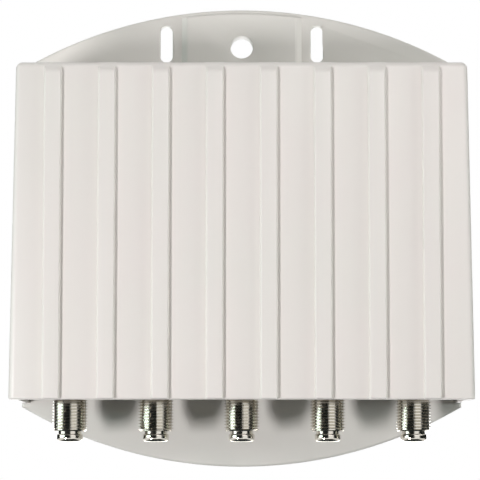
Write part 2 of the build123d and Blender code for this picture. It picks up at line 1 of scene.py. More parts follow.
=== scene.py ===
import bmesh
import bpy
import json
from math import cos, pi, radians, sin, sqrt, tan
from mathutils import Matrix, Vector


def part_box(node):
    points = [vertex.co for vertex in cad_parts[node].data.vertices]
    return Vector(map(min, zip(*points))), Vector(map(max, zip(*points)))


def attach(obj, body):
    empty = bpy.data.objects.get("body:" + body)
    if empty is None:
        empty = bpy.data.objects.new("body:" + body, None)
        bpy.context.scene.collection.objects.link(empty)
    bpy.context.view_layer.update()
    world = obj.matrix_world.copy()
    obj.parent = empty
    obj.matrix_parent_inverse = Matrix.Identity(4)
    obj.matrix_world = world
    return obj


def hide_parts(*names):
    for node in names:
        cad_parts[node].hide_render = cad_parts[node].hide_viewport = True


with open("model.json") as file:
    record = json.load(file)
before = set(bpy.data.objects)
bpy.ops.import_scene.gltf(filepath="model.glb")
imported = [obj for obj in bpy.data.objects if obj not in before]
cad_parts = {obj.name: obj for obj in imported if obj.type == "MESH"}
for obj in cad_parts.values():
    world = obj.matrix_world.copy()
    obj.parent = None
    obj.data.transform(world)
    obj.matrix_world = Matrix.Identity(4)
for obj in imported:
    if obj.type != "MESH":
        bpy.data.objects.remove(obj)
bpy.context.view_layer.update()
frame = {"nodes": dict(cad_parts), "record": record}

# Satellite switch in a wall and mast housing, dressed around its CAD frame.
# Lengths are in metres. X runs right, Y runs into the wall, Z runs up, from the wall screw's hole.
mm = 0.001

# Gaps below which points are merged or count as lying on a face
merge_gap = mm / 1000
sliver = 0.005 * mm
pick_gap = mm / 100
wide_pick_gap = mm / 10

# Share of its normal along an axis above which a face looks along it, or at least leans that way
facing = 0.9
leaning = 0.5

# Fineness of round shapes and rounded edges, with the angles, in degrees, that count as an edge
round_sides = 48
rim_segments = 3
edge_segments = 4
wide_edge_segments = 5
corner_segments = 6
soften_segments = 2
soften_angle = 35
smooth_angle = 30

# Places that come from the frame
plate_low, plate_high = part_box("back_plate")
cover_low, cover_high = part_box("weather_cover")
case_low, case_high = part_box("module_case")
socket_low, socket_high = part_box("socket_body_3")
mounts = {mount["name"]: mount for mount in frame["record"]["mounts"]}
socket_mounts = [mounts[f"socket_{number}"] for number in range(1, 6)]
socket_places = [Vector(mount["pos_m"]) for mount in socket_mounts]
thread_radius = socket_mounts[0]["dims"]["r_mm"] * mm
thread_length = socket_mounts[0]["dims"]["length_mm"] * mm
hole_radius = mounts["wall_hole"]["dims"]["r_mm"] * mm

# Weather cover
draft = radians(0.79)
wall = 2.2 * mm
cover_edge_round = 1.6 * mm
inner_corner_round = 0.6 * mm
foot_edge_round = 0.5 * mm
fine_edge_round = 0.15 * mm
rib_count = 8
rib_pitch = 14.0 * mm
rib_foot_width = 4.6 * mm
rib_crest_width = 4.2 * mm
rib_height = 1.3 * mm
rib_below_top = 1.1 * mm
rib_edge_round = 0.35 * mm
rib_end_round = 0.9 * mm
lip_thickness = 1.8 * mm
lip_reach = 2.95 * mm
lip_foot_gap = 2.0 * mm
notch_gap = 0.4 * mm
cover_foot = cover_low.z
cover_top = cover_high.z
cover_front = cover_low.y + rib_height
cover_rear = cover_high.y
cover_foot_half = cover_high.x
cover_top_half = cover_foot_half - (cover_top - cover_foot) * tan(draft)
lip_inner_half = cover_top_half - wall - lip_reach

# Back plate
plate_arc_radius = 118.5 * mm
plate_arc_sides = 512
plate_corner_round = 2.5 * mm
plate_depth = 4.2 * mm
plate_skin = 2.2 * mm
skirt_wall = 2.0 * mm
plate_edge_round = 0.8 * mm
mast_rib_spacing = 21.8 * mm
plate_rib_width = 1.6 * mm
cross_rib_count = 4
cross_rib_pitch = 22.8 * mm
hole_boss_radius = 5.6 * mm
slot_spacing = 41.4 * mm
slot_width = 3.4 * mm
slot_length = 10.2 * mm
slot_above_hole = mounts["strap_slots"]["pos_m"][2]
mouth_round = 0.25 * mm
bridge_top_half = 15.0 * mm
bridge_foot_half = 17.8 * mm
bridge_height = 1.2 * mm
bridge_inside_rim = 1.2 * mm
bridge_below_hole = 29.6 * mm
bridge_edge_round = 0.5 * mm
rail_web = 2.0 * mm
rail_slide_gap = 0.3 * mm
rail_flange_reach = 2.6 * mm
rail_flange_thickness = 1.8 * mm
rail_foot_gap = 2.5 * mm
rail_past_lug = 1.3 * mm
boss_radius = 4.0 * mm
pilot_radius = 1.55 * mm
pilot_depth = 5.8 * mm
lug_spacing = 76.0 * mm
lug_end_radius = 4.5 * mm
lug_thickness = 2.2 * mm
hook_wall = 1.6 * mm
hook_gap = 0.3 * mm
hook_overlap = 2.0 * mm
hook_width = 7.0 * mm
tab_reach = 3.2 * mm

plate_front = -plate_depth
case_foot = case_low.z + tab_reach

# Sockets
socket_pitch = socket_places[1].x - socket_places[0].x
collar_bevel = 0.35 * mm
collar_turned_radius = 6.2 * mm
nose_top_round = 0.35 * mm
collar_across_flats = 11.0 * mm
collar_height = 2.6 * mm
thread_pitch = 0.79375 * mm
thread_depth = 0.46 * mm
thread_crest = 0.12 * mm
thread_root = 0.16 * mm
thread_foot_depth = 1.3 * thread_depth
barrel_end_chamfer = 0.5 * mm
neck_radius = 3.05 * mm
neck_length = 0.7 * mm
nose_radius = 3.45 * mm
nose_round = 0.9 * mm
mouth_radius = 2.2 * mm
bore_radius = 2.65 * mm
nose_lip = 0.6 * mm
shank_radius = 4.0 * mm
turned_sides = 64
thread_steps = 40
nose_top_segments = 3
nose_segments = 6
# How far each socket is turned about its axis, in degrees
socket_turns = (0, 140, 250, 60, 310)

# Photograph's frame and camera
photo_width = 480
sensor_width = 36.0
focal_pixels = 2441
camera_distance = 0.650
camera_elevation = radians(-5.3)
centre_line_pixel = 241.7
camera_aim_height = -54.66 * mm


def deselect_all():
    """Leaves edit mode and selects nothing, because operators act on all that is selected."""
    if bpy.context.object and bpy.context.object.mode != "OBJECT":
        bpy.ops.object.mode_set(mode="OBJECT")
    bpy.ops.object.select_all(action="DESELECT")


def pick(piece):
    """Makes a piece the only one selected."""
    deselect_all()
    piece.select_set(True)
    bpy.context.view_layer.objects.active = piece


def settle(piece):
    """Puts a piece's place, turn and size into its mesh, and leaves its object at the origin."""
    pick(piece)
    bpy.ops.object.transform_apply(location=True, rotation=True, scale=True)


def add_block(name, low, high):
    """Box between two corners, as a start for a piece."""
    deselect_all()
    low, high = Vector(low), Vector(high)
    bpy.ops.mesh.primitive_cube_add(size=1, location=(low + high) / 2, scale=high - low)
    piece = bpy.context.object
    piece.name = name
    settle(piece)
    return piece


def add_round(name, place, radius, length, axis="Z", sides=round_sides):
    """Cylinder with its middle at a place, along Z or along Y."""
    deselect_all()
    turn = (pi / 2, 0, 0) if axis == "Y" else (0, 0, 0)
    bpy.ops.mesh.primitive_cylinder_add(vertices=sides, radius=radius, depth=length,
                                        location=place, rotation=turn)
    piece = bpy.context.object
    piece.name = name
    settle(piece)
    return piece


def edit_faces(piece, wanted):
    """Enters edit mode with only those faces selected for which wanted(centre, normal) holds."""
    pick(piece)
    bpy.ops.object.mode_set(mode="EDIT")
    bpy.ops.mesh.select_mode(type="FACE")
    bpy.ops.mesh.select_all(action="DESELECT")
    mesh = bmesh.from_edit_mesh(piece.data)
    for face in mesh.faces:
        face.select_set(bool(wanted(face.calc_center_median(), face.normal)))
    bmesh.update_edit_mesh(piece.data)


def edit_edges(piece, wanted):
    """Enters edit mode with only those edges selected for which wanted(first end, other end) holds."""
    pick(piece)
    bpy.ops.object.mode_set(mode="EDIT")
    bpy.ops.mesh.select_mode(type="EDGE")
    bpy.ops.mesh.select_all(action="DESELECT")
    mesh = bmesh.from_edit_mesh(piece.data)
    for edge in mesh.edges:
        edge.select_set(bool(wanted(edge.verts[0].co, edge.verts[1].co)))
    bmesh.update_edit_mesh(piece.data)


def edit_points(piece, wanted):
    """Enters edit mode with only those points selected for which wanted(place) holds."""
    pick(piece)
    bpy.ops.object.mode_set(mode="EDIT")
    bpy.ops.mesh.select_mode(type="VERT")
    bpy.ops.mesh.select_all(action="DESELECT")
    mesh = bmesh.from_edit_mesh(piece.data)
    for point in mesh.verts:
        point.select_set(bool(wanted(point.co)))
    mesh.select_flush_mode()
    bmesh.update_edit_mesh(piece.data)


def edit_all(piece):
    """Enters edit mode with everything selected."""
    pick(piece)
    bpy.ops.object.mode_set(mode="EDIT")
    bpy.ops.mesh.select_mode(type="VERT")
    bpy.ops.mesh.select_all(action="SELECT")


def leave_edit():
    """Back to object mode."""
    bpy.ops.object.mode_set(mode="OBJECT")


def round_edges(width, segments):
    """Rounds the edges that are selected in edit mode."""
    bpy.ops.mesh.bevel(offset=width, segments=segments, affect="EDGES")


def merge_close(piece):
    """Merges points that lie very close, so that cuts find no slivers."""
    edit_all(piece)
    bpy.ops.mesh.remove_doubles(threshold=sliver)
    leave_edit()


def copied(piece, name, shift=(0, 0, 0), turn=0.0):
    """A copy with its own mesh, turned about the Z axis and then moved."""
    deselect_all()
    copy = piece.copy()
    copy.data = piece.data.copy()
    copy.name = name
    bpy.context.scene.collection.objects.link(copy)
    copy.rotation_euler = (0, 0, turn)
    copy.location = shift
    settle(copy)
    return copy


def mirrored(piece, name):
    """A copy on the other side of the middle, with its faces turned outwards again."""
    copy = copied(piece, name)
    copy.scale = (-1, 1, 1)
    settle(copy)
    edit_all(copy)
    bpy.ops.mesh.normals_make_consistent(inside=False)
    leave_edit()
    return copy


def combine(piece, tools, operation):
    """Adds other pieces to a piece or cuts them from it, and deletes them."""
    for tool in tools:
        pick(piece)
        modifier = piece.modifiers.new("combine", "BOOLEAN")
        modifier.operation = operation
        modifier.solver = "EXACT"
        modifier.object = tool
        bpy.ops.object.modifier_apply(modifier=modifier.name)
        bpy.data.objects.remove(tool)


def soften(piece, width):
    """Rounds every edge that is sharper than the angle for softening."""
    pick(piece)
    modifier = piece.modifiers.new("soften", "BEVEL")
    modifier.width = width
    modifier.segments = soften_segments
    modifier.limit_method = "ANGLE"
    modifier.angle_limit = radians(soften_angle)
    modifier.use_clamp_overlap = True
    bpy.ops.object.modifier_apply(modifier=modifier.name)


def smooth(piece):
    """Smooth shading across edges that are flatter than the angle for smoothing."""
    pick(piece)
    bpy.ops.object.shade_smooth_by_angle(angle=radians(smooth_angle))


# Sockets of the Mix node, for numbers and for colours
number_a, number_b, number_mixed = 2, 3, 0
colour_a, colour_b, colour_mixed = 6, 7, 2


def new_group(name, inputs, outputs):
    """Empty shader node group with named inputs and outputs."""
    group = bpy.data.node_groups.new(name, "ShaderNodeTree")
    for label, kind, value in inputs:
        socket = group.interface.new_socket(name=label, in_out="INPUT", socket_type=kind)
        socket.default_value = value
    for label, kind in outputs:
        group.interface.new_socket(name=label, in_out="OUTPUT", socket_type=kind)
    return group, group.nodes.new("NodeGroupInput"), group.nodes.new("NodeGroupOutput")


def add_node(tree, kind, values=None, settings=None):
    """Node with some of its sockets and settings changed."""
    node = tree.nodes.new(kind)
    for name, value in (settings or {}).items():
        setattr(node, name, value)
    for name, value in (values or {}).items():
        node.inputs[name].default_value = value
    return node


def object_place(tree, stretch=(1, 1, 1)):
    """Place on the object, stretched along its axes."""
    coordinates = add_node(tree, "ShaderNodeTexCoord")
    mapping = add_node(tree, "ShaderNodeMapping", {"Scale": stretch})
    tree.links.new(coordinates.outputs["Object"], mapping.inputs["Vector"])
    return mapping.outputs["Vector"]


def make_mottle():
    """Slow and fine drift between two colours, and the mask that it follows."""
    group, given, result = new_group(
        "mottle",
        [("Base", "NodeSocketColor", (1, 1, 1, 1)), ("Other", "NodeSocketColor", (1, 1, 1, 1)),
         ("Scale", "NodeSocketFloat", 60.0), ("Amount", "NodeSocketFloat", 0.5)],
        [("Color", "NodeSocketColor"), ("Mask", "NodeSocketFloat")])
    place = object_place(group)
    slow = add_node(group, "ShaderNodeTexNoise", {"Detail": 3.0, "Roughness": 0.6})
    group.links.new(place, slow.inputs["Vector"])
    group.links.new(given.outputs["Scale"], slow.inputs["Scale"])
    spread = add_node(group, "ShaderNodeMapRange", {"From Min": 0.3, "From Max": 0.7})
    group.links.new(slow.outputs["Fac"], spread.inputs["Value"])
    amount = add_node(group, "ShaderNodeMath", settings={"operation": "MULTIPLY"})
    group.links.new(spread.outputs["Result"], amount.inputs[0])
    group.links.new(given.outputs["Amount"], amount.inputs[1])
    mix = add_node(group, "ShaderNodeMix", settings={"data_type": "RGBA"})
    group.links.new(amount.outputs[0], mix.inputs["Factor"])
    group.links.new(given.outputs["Base"], mix.inputs[colour_a])
    group.links.new(given.outputs["Other"], mix.inputs[colour_b])
    group.links.new(mix.outputs[colour_mixed], result.inputs["Color"])
    group.links.new(spread.outputs["Result"], result.inputs["Mask"])
    return group


def make_grain():
    """Spark-eroded grain of a moulded or cast surface, as a height."""
    group, given, result = new_group(
        "moulded_grain",
        [("Scale", "NodeSocketFloat", 3000.0), ("Coarse Share", "NodeSocketFloat", 0.35)],
        [("Height", "NodeSocketFloat")])
    place = object_place(group)
    fine = add_node(group, "ShaderNodeTexNoise", {"Detail": 2.0, "Roughness": 0.55})
    group.links.new(place, fine.inputs["Vector"])
    group.links.new(given.outputs["Scale"], fine.inputs["Scale"])
    slower = add_node(group, "ShaderNodeMath", {1: 0.16}, {"operation": "MULTIPLY"})
    group.links.new(given.outputs["Scale"], slower.inputs[0])
    coarse = add_node(group, "ShaderNodeTexNoise", {"Detail": 1.0})
    group.links.new(place, coarse.inputs["Vector"])
    group.links.new(slower.outputs[0], coarse.inputs["Scale"])
    mix = add_node(group, "ShaderNodeMix", settings={"data_type": "FLOAT"})
    group.links.new(given.outputs["Coarse Share"], mix.inputs["Factor"])
    group.links.new(fine.outputs["Fac"], mix.inputs[number_a])
    group.links.new(coarse.outputs["Fac"], mix.inputs[number_b])
    group.links.new(mix.outputs[number_mixed], result.inputs["Height"])
    return group


def make_turning():
    """Fine rings that a lathe leaves round an upright axis, as a height."""
    group, given, result = new_group(
        "turning_marks",
        [("Rings", "NodeSocketFloat", 9000.0), ("Unevenness", "NodeSocketFloat", 1.5)],
        [("Height", "NodeSocketFloat")])
    place = object_place(group)
    rings = add_node(group, "ShaderNodeTexWave", {"Detail": 2.0, "Detail Scale": 1.5},
                     {"wave_type": "BANDS", "bands_direction": "Z"})
    group.links.new(place, rings.inputs["Vector"])
    group.links.new(given.outputs["Rings"], rings.inputs["Scale"])
    group.links.new(given.outputs["Unevenness"], rings.inputs["Distortion"])
    group.links.new(rings.outputs["Fac"], result.inputs["Height"])
    return group


def make_rub():
    """Dull rubbed patches and fine scratches, as a mask."""
    group, given, result = new_group(
        "rub_marks",
        [("Patch Scale", "NodeSocketFloat", 90.0), ("Scratch Scale", "NodeSocketFloat", 700.0)],
        [("Mask", "NodeSocketFloat")])
    patch = add_node(group, "ShaderNodeTexNoise", {"Detail": 4.0, "Roughness": 0.65})
    group.links.new(object_place(group), patch.inputs["Vector"])
    group.links.new(given.outputs["Patch Scale"], patch.inputs["Scale"])
    patches = add_node(group, "ShaderNodeMapRange", {"From Min": 0.45, "From Max": 0.7})
    group.links.new(patch.outputs["Fac"], patches.inputs["Value"])
    scratch = add_node(group, "ShaderNodeTexNoise", {"Detail": 1.0})
    group.links.new(object_place(group, (1.0, 1.0, 0.07)), scratch.inputs["Vector"])
    group.links.new(given.outputs["Scratch Scale"], scratch.inputs["Scale"])
    scratches = add_node(group, "ShaderNodeMapRange", {"From Min": 0.62, "From Max": 0.72})
    group.links.new(scratch.outputs["Fac"], scratches.inputs["Value"])
    mix = add_node(group, "ShaderNodeMix", {"Factor": 0.4}, {"data_type": "FLOAT"})
    group.links.new(patches.outputs["Result"], mix.inputs[number_a])
    group.links.new(scratches.outputs["Result"], mix.inputs[number_b])
    group.links.new(mix.outputs[number_mixed], result.inputs["Mask"])
    return group


# Screen curve: a straight foot, and a lifted power above it
full_level = 255
foot_end = 0.04045
foot_slope = 12.92
curve_lift = 0.055
curve_power = 2.4


def srgb(red, green, blue):
    """Colour for a shader from the levels of a screen colour, 0 to 255."""
    def linear(level):
        """Share of light that a screen level stands for."""
        share = level / full_level
        if share <= foot_end:
            return share / foot_slope
        return ((share + curve_lift) / (1 + curve_lift)) ** curve_power
    return (linear(red), linear(green), linear(blue), 1.0)


def new_material(name, metallic=0.0):
    """Material with a shader, and that shader."""
    material = bpy.data.materials.new(name)
    material.use_nodes = True
    shader = material.node_tree.nodes["Principled BSDF"]
    shader.inputs["Metallic"].default_value = metallic
    return material, material.node_tree, shader


def use_group(tree, group, values):
    """A shared effect placed in a material with its own values."""
    node = tree.nodes.new("ShaderNodeGroup")
    node.node_tree = group
    for name, value in values.items():
        node.inputs[name].default_value = value
    return node


def colour_by_mottle(tree, shader, base, other, scale, amount):
    """Lets a surface drift between two colours."""
    drift = use_group(tree, mottle, {"Base": base, "Other": other, "Scale": scale, "Amount": amount})
    tree.links.new(drift.outputs["Color"], shader.inputs["Base Color"])
    return drift


def rough_by(tree, shader, mask, smooth_value, dull_value):
    """Lets roughness follow a mask between two values."""
    spread = add_node(tree, "ShaderNodeMapRange", {"To Min": smooth_value, "To Max": dull_value})
    tree.links.new(mask, spread.inputs["Value"])
    tree.links.new(spread.outputs["Result"], shader.inputs["Roughness"])


def bump_by(tree, shader, height, depth):
    """Lets the surface rise with a height, by a depth in metres."""
    bump = add_node(tree, "ShaderNodeBump", {"Distance": depth, "Strength": 1.0})
    tree.links.new(height, bump.inputs["Height"])
    tree.links.new(bump.outputs["Normal"], shader.inputs["Normal"])


# How far a plastic's roughness drifts below and above its own
plastic_smoother = 0.06
plastic_duller = 0.05


def moulded_plastic(name, base, other, grain_scale=3200.0, grain_depth=0.012 * mm, dull=0.44):
    """Moulded plastic with a fine grain and a faint drift of colour."""
    material, tree, shader = new_material(name)
    drift = colour_by_mottle(tree, shader, base, other, scale=35.0, amount=0.6)
    rough_by(tree, shader, drift.outputs["Mask"], dull - plastic_smoother, dull + plastic_duller)
    surface = use_group(tree, grain, {"Scale": grain_scale})
    bump_by(tree, shader, surface.outputs["Height"], grain_depth)
    return material


def turned_metal(name, base, other, bright, dull, depth=0.002 * mm):
    """Turned and plated metal with fine rings and a few rubbed patches."""
    material, tree, shader = new_material(name, 1.0)
    colour_by_mottle(tree, shader, base, other, scale=320.0, amount=0.7)
    rub = use_group(tree, rub_marks, {"Patch Scale": 260.0, "Scratch Scale": 1500.0})
    rough_by(tree, shader, rub.outputs["Mask"], bright, dull)
    marks = use_group(tree, turning_marks, {"Rings": 9000.0})
    bump_by(tree, shader, marks.outputs["Height"], depth)
    return material


def sheet_metal(name, base, other, bright, dull):
    """Rolled and tinned sheet with rubbed patches and fine scratches."""
    material, tree, shader = new_material(name, 1.0)
    colour_by_mottle(tree, shader, base, other, scale=120.0, amount=0.35)
    rub = use_group(tree, rub_marks, {"Patch Scale": 70.0, "Scratch Scale": 600.0})
    rough_by(tree, shader, rub.outputs["Mask"], bright, dull)
    surface = use_group(tree, grain, {"Scale": 900.0, "Coarse Share": 0.7})
    bump_by(tree, shader, surface.outputs["Height"], depth=0.01 * mm)
    return material


def cast_metal(name, base, other):
    """Die-cast metal with a dull, slightly pitted skin."""
    material, tree, shader = new_material(name, 1.0)
    drift = colour_by_mottle(tree, shader, base, other, scale=180.0, amount=0.9)
    rough_by(tree, shader, drift.outputs["Mask"], smooth_value=0.42, dull_value=0.6)
    surface = use_group(tree, grain, {"Scale": 1400.0, "Coarse Share": 0.5})
    bump_by(tree, shader, surface.outputs["Height"], depth=0.03 * mm)
    return material


def printed_board():
    """Green board: solder resist over a pattern of copper tracks and pads."""
    material, tree, shader = new_material("board_green")
    place = object_place(tree)
    tracks = add_node(tree, "ShaderNodeTexBrick", {
        "Color1": srgb(22, 92, 48), "Color2": srgb(26, 104, 56), "Mortar": srgb(12, 62, 34),
        "Scale": 260.0, "Mortar Size": 0.03, "Brick Width": 0.9, "Row Height": 0.33}, {"offset": 0.37})
    flat = add_node(tree, "ShaderNodeSeparateXYZ")
    tree.links.new(place, flat.inputs[0])
    joined = add_node(tree, "ShaderNodeCombineXYZ")
    tree.links.new(flat.outputs["X"], joined.inputs["X"])
    tree.links.new(flat.outputs["Z"], joined.inputs["Y"])
    tree.links.new(joined.outputs[0], tracks.inputs["Vector"])
    drift = use_group(tree, mottle, {"Other": srgb(14, 70, 38), "Scale": 150.0, "Amount": 0.4})
    tree.links.new(tracks.outputs["Color"], drift.inputs["Base"])
    tree.links.new(drift.outputs["Color"], shader.inputs["Base Color"])
    rough_by(tree, shader, drift.outputs["Mask"], smooth_value=0.22, dull_value=0.34)
    bump_by(tree, shader, tracks.outputs["Fac"], depth=-0.02 * mm)
    return material


def wound_wire_with_painted_groove_shade():
    """Lacquered copper winding: close turns round an upright axis, with painted shade in the grooves between
    the turns.
    """
    material, tree, shader = new_material("coil_copper")
    turns = use_group(tree, turning_marks, {"Rings": 900.0, "Unevenness": 0.2})
    # Painted shade: the colour runs from dark brown in the grooves between the turns to bright copper on the
    # turns.
    blend = add_node(tree, "ShaderNodeMix", settings={"data_type": "RGBA"})
    blend.inputs[colour_a].default_value = srgb(70, 26, 12)
    blend.inputs[colour_b].default_value = srgb(186, 98, 48)
    tree.links.new(turns.outputs["Height"], blend.inputs["Factor"])
    tree.links.new(blend.outputs[colour_mixed], shader.inputs["Base Color"])
    rough_by(tree, shader, turns.outputs["Height"], smooth_value=0.4, dull_value=0.22)
    bump_by(tree, shader, turns.outputs["Height"], depth=0.08 * mm)
    return material


mottle = make_mottle()
grain = make_grain()
turning_marks = make_turning()
rub_marks = make_rub()
finishes = {
    "cover_plastic": moulded_plastic("cover_plastic", srgb(229, 226, 220), srgb(230, 223, 219)),
    "plate_plastic": moulded_plastic("plate_plastic", srgb(226, 223, 217), srgb(222, 221, 214)),
    "socket_nickel": turned_metal("socket_nickel", (0.74, 0.71, 0.64, 1), (0.66, 0.63, 0.56, 1),
                                  bright=0.06, dull=0.16, depth=0.001 * mm),
    "case_metal": cast_metal("case_metal", (0.5, 0.5, 0.49, 1), (0.4, 0.4, 0.39, 1)),
    "lid_steel": sheet_metal("lid_steel", (0.66, 0.66, 0.64, 1), (0.56, 0.56, 0.55, 1),
                             bright=0.3, dull=0.38),
    "shield_tin": sheet_metal("shield_tin", (0.68, 0.68, 0.66, 1), (0.6, 0.6, 0.57, 1),
                              bright=0.26, dull=0.34),
    "screw_steel": turned_metal("screw_steel", (0.6, 0.61, 0.62, 1), (0.5, 0.5, 0.52, 1),
                                bright=0.2, dull=0.4),
    "contact_brass": turned_metal("contact_brass", (0.75, 0.58, 0.28, 1), (0.66, 0.48, 0.22, 1),
                                  bright=0.14, dull=0.3),
    "can_aluminium": turned_metal("can_aluminium", (0.72, 0.72, 0.73, 1), (0.6, 0.6, 0.62, 1),
                                  bright=0.25, dull=0.4),
    "insulator_white": moulded_plastic("insulator_white", srgb(232, 231, 226), srgb(222, 221, 214),
                                       grain_scale=1500.0, grain_depth=0.004 * mm, dull=0.36),
    "package_black": moulded_plastic("package_black", srgb(36, 36, 37), srgb(48, 47, 46),
                                     grain_scale=5200.0, grain_depth=0.01 * mm, dull=0.55),
    "resonator_blue": moulded_plastic("resonator_blue", srgb(40, 86, 158), srgb(28, 66, 134),
                                      grain_scale=700.0, grain_depth=0.02 * mm, dull=0.24),
    "chip_tan": moulded_plastic("chip_tan", srgb(168, 140, 104), srgb(142, 114, 82),
                                grain_scale=2600.0, grain_depth=0.006 * mm, dull=0.4),
    "board_green": printed_board(),
    "coil_copper": wound_wire_with_painted_groove_shade(),
}


def dress_node(node, slot):
    """Gives a CAD node the finish of its slot."""
    piece = frame["nodes"][node]
    for place in piece.material_slots:
        place.material = finishes[slot]


for subpart in frame["record"]["subparts"]:
    dress_node(subpart["node"], subpart["material_slot"])


def place_piece(piece, node, body, slot):
    """Lets a piece stand for its CAD node, ride on its body and take its finish from a slot."""
    piece.data.materials.clear()
    piece.data.materials.append(finishes[slot])
    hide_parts(node)
    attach(piece, body)


def add_drafted_block(name, inset, low, high, rear):
    """Block whose sides and front lean in by the cover's draft, inset from the cover's outer faces."""
    lean_low = (low - cover_foot) * tan(draft)
    lean_high = (high - cover_foot) * tan(draft)
    half_low = cover_foot_half - inset - lean_low
    half_high = cover_foot_half - inset - lean_high
    front_low = cover_front + inset + lean_low
    block = add_block(name, (-half_low, front_low, low), (half_low, rear, high))
    edit_faces(block, lambda centre, normal: normal.z > facing)
    bpy.ops.transform.resize(value=(half_high / half_low, 1, 1), center_override=(0, 0, high))
    edit_edges(block, lambda a, b: min(a.z, b.z) > low + mm and max(a.y, b.y) < front_low + mm)
    bpy.ops.transform.translate(value=(0, lean_high - lean_low, 0))
    leave_edit()
    return block


def model_rib():
    """Rib at the middle of the cover's leaning front, narrower at its crest and bevelled at its top."""
    foot = cover_foot + fine_edge_round
    top = cover_top - rib_below_top
    lean = (top - foot) * tan(draft)
    crest = cover_front - rib_height
    buried_half = (rib_foot_width + (rib_foot_width - rib_crest_width) * wall / 2 / rib_height) / 2
    rib = add_block("rib", (-buried_half, crest, foot), (buried_half, cover_front + wall / 2, top + wall / 2))
    edit_faces(rib, lambda centre, normal: normal.y < -facing)
    bpy.ops.transform.resize(value=(rib_crest_width / 2 / buried_half, 1, 1))
    edit_edges(rib, lambda a, b: min(a.z, b.z) > top - mm and max(a.y, b.y) < crest + mm)
    bpy.ops.transform.translate(value=(0, 0, -rib_height - wall / 2))
    edit_faces(rib, lambda centre, normal: normal.z > leaning)
    bpy.ops.transform.translate(value=(0, lean, 0))
    edit_edges(rib, lambda a, b: max(a.y, b.y) < crest + lean + mm / 2
               and min(a.z, b.z) > top - 2 * rib_height)
    round_edges(rib_end_round, wide_edge_segments)
    edit_edges(rib, lambda a, b: max(a.y, b.y) < crest + lean + rib_height / 2
               and (abs(a.x - b.x) < mm / 2 or max(a.z, b.z) < foot + mm / 2))
    round_edges(rib_edge_round, edge_segments)
    leave_edit()
    return rib


def model_lip():
    """Right-hand lip inside the cover's rear edge, which runs in the plate's rail."""
    return add_block("lip", (lip_inner_half, cover_rear - lip_thickness, cover_foot + lip_foot_gap),
                     (cover_top_half - wall / 4, cover_rear, cover_top - wall / 2))


def bridge_block(name, gap, low, high):
    """Strap bridge's form between two heights, larger by a gap on its sides and its front."""
    front = plate_front - bridge_height - gap
    block = add_block(name, (-bridge_foot_half - gap, front, low),
                      (bridge_foot_half + gap, plate_front + plate_skin / 2, high))
    edit_faces(block, lambda centre, normal: normal.y < -facing)
    bpy.ops.transform.resize(value=((bridge_top_half + gap) / (bridge_foot_half + gap), 1, 1))
    leave_edit()
    return block


def model_cover():
    """Weather cover: a drafted hood with eight ribs, hollowed from below and behind."""
    near = wide_pick_gap
    cover = add_drafted_block("cover_moulding", 0, cover_foot, cover_top, cover_rear)
    edit_edges(cover, lambda a, b: (min(a.z, b.z) > cover_top - near and min(a.y, b.y) < cover_rear - near)
               or (abs(a.z - b.z) > wall and max(a.y, b.y) < cover_front + wall))
    round_edges(cover_edge_round, wide_edge_segments)
    edit_edges(cover, lambda a, b: max(a.z, b.z) < cover_foot + near and min(a.y, b.y) < cover_rear - near)
    round_edges(foot_edge_round, rim_segments)
    leave_edit()
    rib = model_rib()
    rib_places = [(i - (rib_count - 1) / 2) * rib_pitch for i in range(rib_count)]
    ribs = [copied(rib, f"rib_{i}", (x, 0, 0)) for i, x in enumerate(rib_places)]
    bpy.data.objects.remove(rib)
    combine(cover, ribs, "UNION")
    cavity = add_drafted_block("cavity", wall, cover_foot - wall, cover_top - wall, wall)
    edit_edges(cavity, lambda a, b: (min(a.z, b.z) > cover_top - wall - near and min(a.y, b.y) < 0)
               or (abs(a.z - b.z) > wall and max(a.y, b.y) < cover_front + 2 * wall))
    round_edges(inner_corner_round, rim_segments)
    leave_edit()
    combine(cover, [cavity], "DIFFERENCE")
    lip = model_lip()
    combine(cover, [lip, mirrored(lip, "other_lip")], "UNION")
    notch = bridge_block("notch", notch_gap, cover_top - 2 * wall, cover_top + wall)
    combine(cover, [notch], "DIFFERENCE")
    soften(cover, fine_edge_round)
    smooth(cover)
    return cover


def turn_profile(name, steps):
    """Turned ring about the Z axis: a circle extruded through steps of radius and height, then closed."""
    deselect_all()
    radius, height = steps[0]
    bpy.ops.mesh.primitive_circle_add(vertices=turned_sides, radius=radius, location=(0, 0, height))
    piece = bpy.context.object
    piece.name = name
    settle(piece)
    edit_all(piece)
    for next_radius, next_height in steps[1:] + steps[:1]:
        bpy.ops.mesh.extrude_region_move(TRANSFORM_OT_translate={"value": (0, 0, next_height - height)})
        bpy.ops.transform.resize(value=(next_radius / radius, next_radius / radius, 1),
                                 center_override=(0, 0, next_height))
        radius, height = next_radius, next_height
    bpy.ops.mesh.select_all(action="SELECT")
    bpy.ops.mesh.remove_doubles(threshold=merge_gap)
    bpy.ops.mesh.normals_make_consistent(inside=False)
    leave_edit()
    return piece


def arc_steps(centre_radius, centre_height, size, start, end, count):
    """Steps of radius and height along a round edge, from one angle to another."""
    angles = [start + (end - start) * i / count for i in range(count + 1)]
    return [(centre_radius + size * cos(angle), centre_height + size * sin(angle)) for angle in angles]


